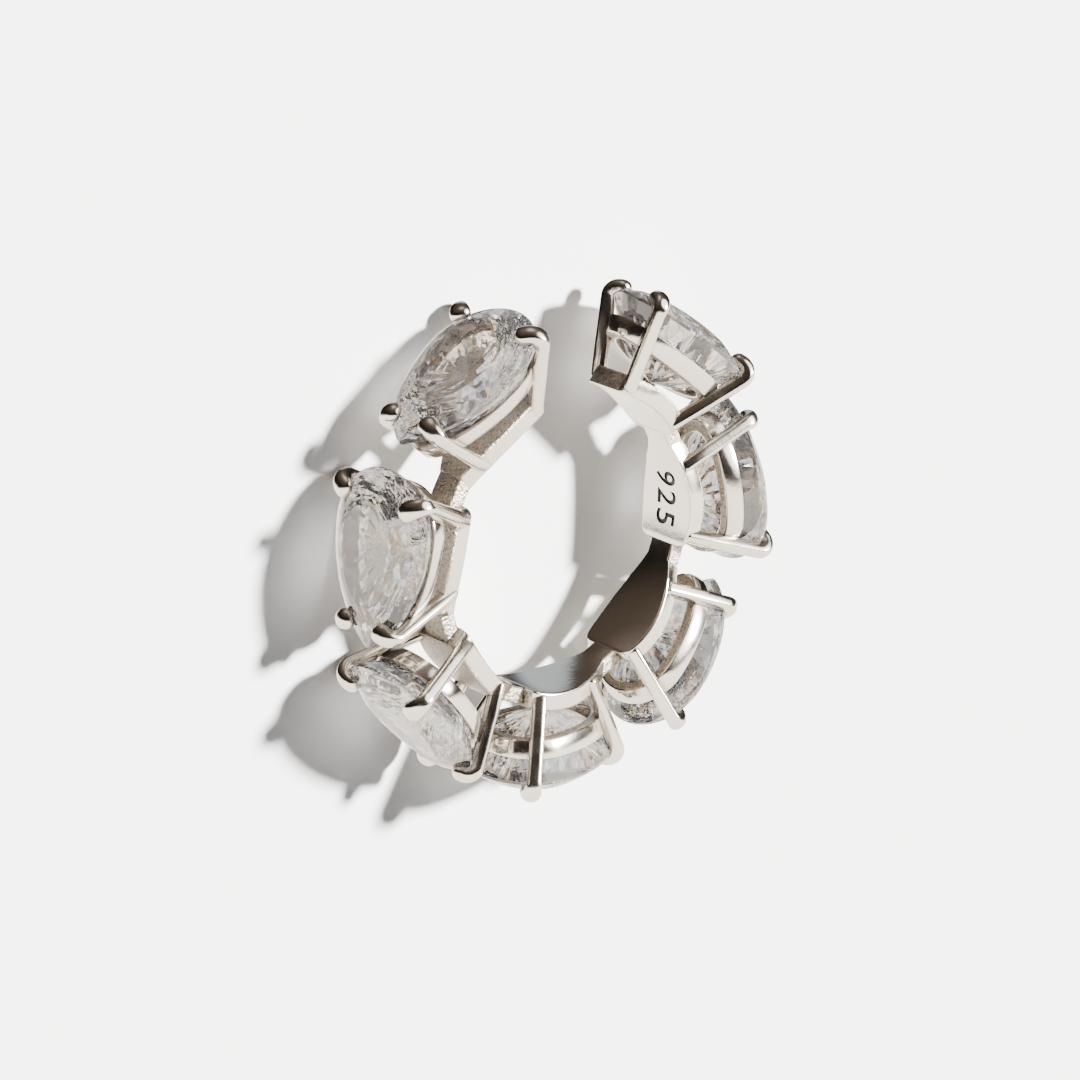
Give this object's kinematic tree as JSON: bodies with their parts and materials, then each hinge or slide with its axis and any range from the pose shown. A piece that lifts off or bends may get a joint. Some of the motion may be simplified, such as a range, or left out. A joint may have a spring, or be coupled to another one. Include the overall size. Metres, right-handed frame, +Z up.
{
  "type": "ear cuff",
  "caption": "Open C-shaped silver ear cuff carrying a row of clear pear-cut stones in claw baskets, all pointing the same way round.",
  "frame": {"origin": "middle of the cuff's bounding box, at the surface it lies on", "axes": "+Z up, along the ring axis, the side that faces the camera in the picture; +Y toward the gap in the band"},
  "size_m": [0.0174, 0.0168, 0.0044],
  "materials": {
    "silver": "polished sterling silver",
    "clear_stone": "polished, faceted"
  },
  "bodies": {
    "root": {"cuff_frame": "silver", "stone_1": "clear_stone", "stone_2": "clear_stone", "stone_3": "clear_stone", "stone_4": "clear_stone", "stone_5": "clear_stone", "stone_6": "clear_stone", "stone_7": "clear_stone"}
  },
  "joints": []
}
